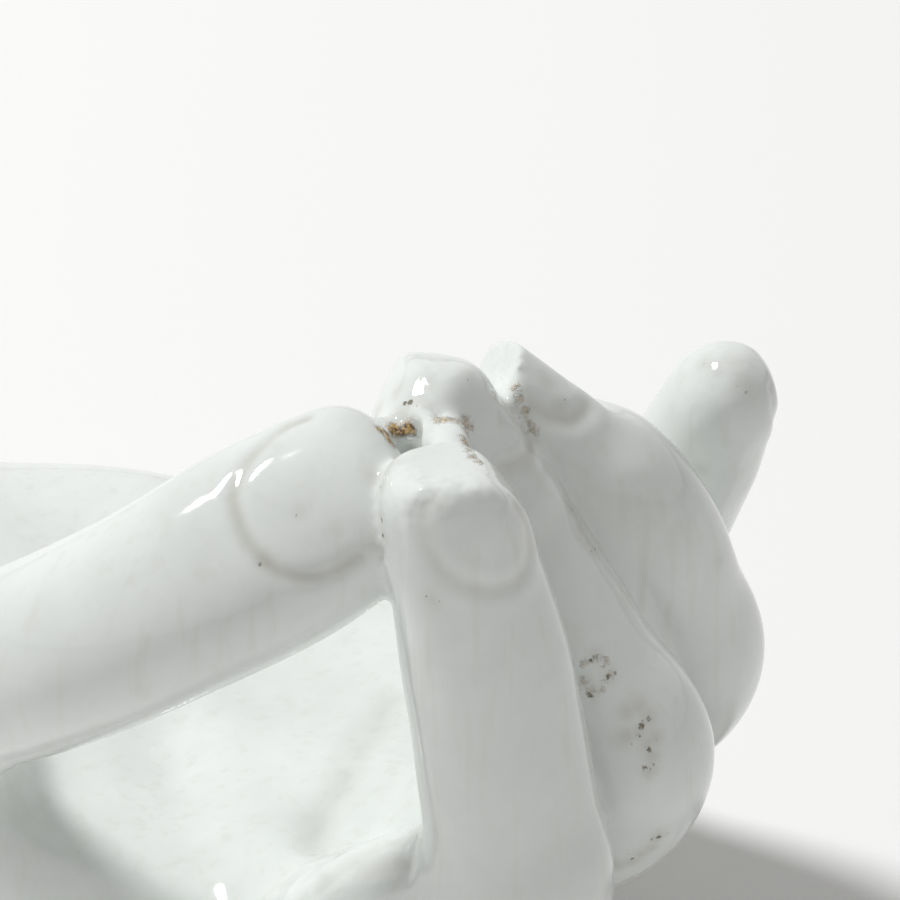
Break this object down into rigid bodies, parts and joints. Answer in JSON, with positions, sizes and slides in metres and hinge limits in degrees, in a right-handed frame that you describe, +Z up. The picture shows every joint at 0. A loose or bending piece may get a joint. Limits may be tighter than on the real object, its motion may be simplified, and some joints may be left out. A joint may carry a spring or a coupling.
{
  "type": "incense holder",
  "caption": "Life-size glazed ceramic right hand lying palm up, its thumb and fingertips meeting round a small gap that holds an incense stick.",
  "frame": {"origin": "the middle of the flat foot on the back of the hand, on the table", "axes": "+Z up from the table, the fingers point along -Y and the wrist along +Y, the thumb is at -X and the little finger at +X"},
  "size_m": [0.0992, 0.1564, 0.0907],
  "materials": {
    "glaze": "glossy bluish-white glaze with fine dark pinholes and brown stains between the fingertips"
  },
  "bodies": {
    "root": {"hand": "glaze"}
  },
  "joints": []
}
